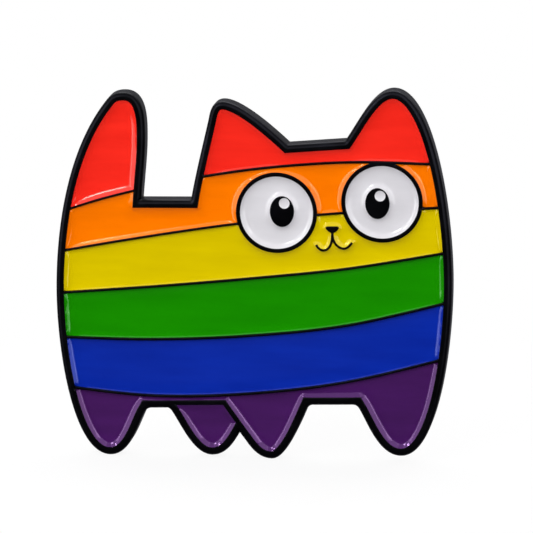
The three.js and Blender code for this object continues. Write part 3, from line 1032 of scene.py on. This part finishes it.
# lights beside the glare of level enamel: name, degrees from it, bearing, size along the bearing's
# circle and across it in metres, brightness, distance
ARCH = (
    ("soft_right", 56, 17, 0.226, 0.41, 2.05, 0.4),
    ("soft_upper_right", 56, 55, 0.226, 0.41, 1.75, 0.4),
    ("soft_top", 56, 90, 0.19, 0.41, 1.02, 0.4),
    ("soft_upper_left", 56, 126, 0.226, 0.41, 1.75, 0.4),
    ("soft_left", 56, 164, 0.226, 0.41, 2.05, 0.4),
    ("strip_right", 36, 20, 0.17, 0.022, 5.0, 0.38),
    ("strip_left", 36, 163, 0.17, 0.022, 5.0, 0.38),
    ("strip_top", 36, 114.3, 0.045, 0.04, 24.0, 0.38),
    ("strip_top_low", 36, 105.5, 0.03, 0.022, 2.5, 0.38),
    ("strip_corner", 50, 134, 0.028, 0.028, 40.0, 0.38),
)
# lights behind: name, azimuth, elevation, brightness
REAR = (("soft_back_left", -125, 45, 1.6), ("soft_back_right", 125, 45, 1.6), ("soft_back_top", 180, 62, 3.0))
REAR_SIZE = 0.3


def direction(azimuth, elevation):
    """A unit vector from the pin; azimuth 0 is in front of it and 90 to the right."""
    a, e = math.radians(azimuth), math.radians(elevation)
    return Vector((math.sin(a) * math.cos(e), -math.cos(a) * math.cos(e), math.sin(e)))


def softbox(name, towards, width, height, strength, distance=0.4, roll=0):
    """A plain rectangular light that faces the pin; strength is its brightness."""
    light = bpy.data.lights.new(name, "AREA")
    light.shape = "RECTANGLE"
    light.size = width
    light.size_y = height
    light.energy = strength * width * height * math.pi
    lamp = bpy.data.objects.new(name, light)
    bpy.context.scene.collection.objects.link(lamp)
    lamp.location = towards * distance
    turn = Matrix.Rotation(math.radians(roll), 4, towards)
    lamp.rotation_euler = (turn @ (-towards).to_track_quat("-Z", "Y").to_matrix().to_4x4()).to_euler()


def beside_glare(away, bearing):
    """A direction at an angle from where level enamel mirrors, on a bearing seen from the front."""
    glare = direction(-VIEW[0], -VIEW[1])
    right = (-glare).cross(Vector((0, 0, 1))).normalized()
    up = right.cross(-glare)
    a, b = math.radians(away), math.radians(bearing)
    return glare * math.cos(a) + (right * math.cos(b) + up * math.sin(b)) * math.sin(a)


def floor():
    """A pale floor under the pin that fades into the white surround."""
    low = cad_box[0].z
    count = 25
    x = np.linspace(-FLOOR_HALF, FLOOR_HALF, count)
    patches = Patchwork()
    grid = np.array([(a, b, low) for b in x for a in x]) / MM
    faces = [
        (j * count + i, j * count + i + 1, (j + 1) * count + i + 1, (j + 1) * count + i)
        for j in range(count - 1) for i in range(count - 1)
    ]
    patches.add(grid, faces)
    material, tree, shader, vector = nodes_of("pale_floor", 0.0, specular=0.1)
    cloud = noise(tree, vector, 0.01, 2.0)
    tree.links.new(ramp(tree, cloud, 0.86, 0.9), shader.inputs["Base Color"])
    shader.inputs["Roughness"].default_value = 0.8
    distance = tree.nodes.new("ShaderNodeVectorMath")
    distance.operation = "LENGTH"
    tree.links.new(vector, distance.inputs[0])
    share = tree.nodes.new("ShaderNodeMapRange")
    share.inputs["From Min"].default_value, share.inputs["From Max"].default_value = FLOOR_FADE
    share.inputs["To Min"].default_value = FLOOR_ALPHA
    share.inputs["To Max"].default_value = 0
    tree.links.new(distance.outputs["Value"], share.inputs["Value"])
    tree.links.new(share.outputs["Result"], shader.inputs["Alpha"])
    patches.piece("floor", material)


def surround():
    """A white surround that lights and reflects dimly from behind and hardly at all from in front."""
    world = bpy.data.worlds.new("surround")
    bpy.context.scene.world = world
    world.use_nodes = True
    tree = world.node_tree
    tree.nodes.clear()
    links = tree.links
    where = tree.nodes.new("ShaderNodeTexCoord")
    facing = tree.nodes.new("ShaderNodeVectorMath")
    facing.operation = "DOT_PRODUCT"
    facing.inputs[1].default_value = direction(*VIEW)
    links.new(where.outputs["Generated"], facing.inputs[0])
    turned_away = tree.nodes.new("ShaderNodeMapRange")
    turned_away.inputs["From Min"].default_value = 0.5
    turned_away.inputs["From Max"].default_value = -0.35
    links.new(facing.outputs["Value"], turned_away.inputs["Value"])
    shade = ramp(tree, turned_away.outputs["Result"], SURROUND_FRONT, SURROUND_BEHIND, 0.0, 1.0)
    dim = tree.nodes.new("ShaderNodeBackground")
    links.new(shade, dim.inputs["Color"])
    bright = tree.nodes.new("ShaderNodeBackground")
    bright.inputs["Color"].default_value = (1, 1, 1, 1)
    path = tree.nodes.new("ShaderNodeLightPath")
    mix = tree.nodes.new("ShaderNodeMixShader")
    links.new(path.outputs["Is Camera Ray"], mix.inputs["Fac"])
    links.new(dim.outputs["Background"], mix.inputs[1])
    links.new(bright.outputs["Background"], mix.inputs[2])
    out = tree.nodes.new("ShaderNodeOutputWorld")
    links.new(mix.outputs["Shader"], out.inputs["Surface"])


def camera():
    data = bpy.data.cameras.new("camera")
    data.lens = FOCAL
    data.sensor_width = SENSOR
    data.clip_start, data.clip_end = 0.01, 10
    cam = bpy.data.objects.new("camera", data)
    bpy.context.scene.collection.objects.link(cam)
    away = direction(*VIEW)
    cam.location = TARGET + away * DISTANCE
    cam.rotation_euler = (-away).to_track_quat("-Z", "Y").to_euler()
    bpy.context.scene.camera = cam


floor()
surround()
camera()
for name, away, bearing, width, height, strength, distance in ARCH:
    softbox(name, beside_glare(away, bearing), width, height, strength, distance, bearing - 90)
for name, azimuth, elevation, strength in REAR:
    softbox(name, direction(azimuth, elevation), REAR_SIZE, REAR_SIZE, strength)
bpy.context.scene.view_settings.view_transform = "Standard"
